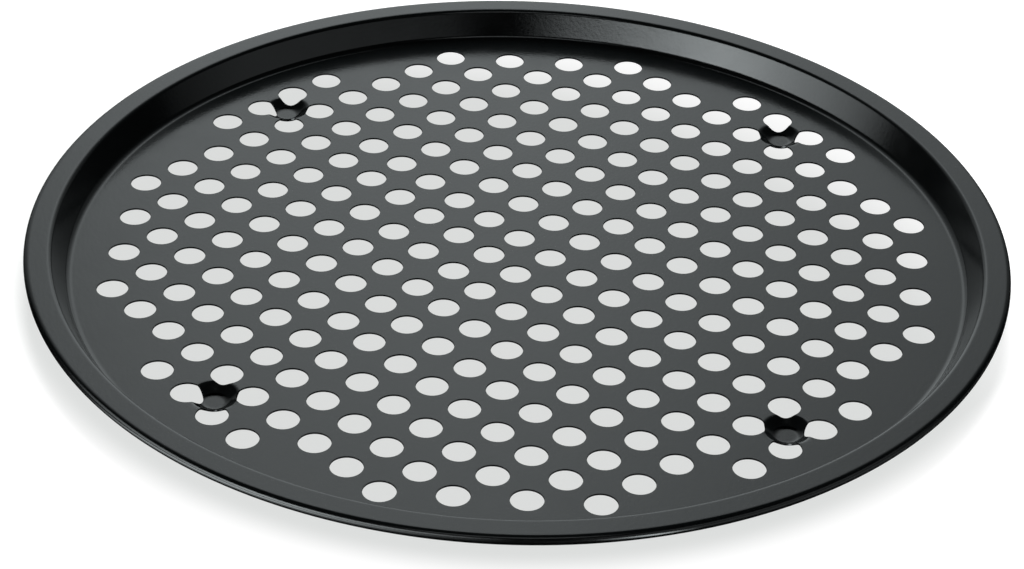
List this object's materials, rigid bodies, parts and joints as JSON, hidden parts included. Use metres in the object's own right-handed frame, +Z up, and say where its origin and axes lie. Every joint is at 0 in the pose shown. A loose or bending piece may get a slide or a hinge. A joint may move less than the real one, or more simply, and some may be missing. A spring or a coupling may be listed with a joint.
{
  "type": "perforated pizza pan",
  "caption": "Round shallow baking pan of coated steel sheet with a perforated floor, a sloping wall, a flat flange with a rolled edge, and pressed feet.",
  "frame": {"origin": "centre of the pan on plan, at the height where its four pressed feet stand", "axes": "+Z up out of the pan, +X and +Y along the rows of holes, with a foot on each of the four half axes"},
  "size_m": [0.314, 0.314, 0.0126],
  "materials": {
    "coating": "dark charcoal non-stick coating, satin"
  },
  "bodies": {
    "root": {"pan": "coating"}
  },
  "joints": []
}
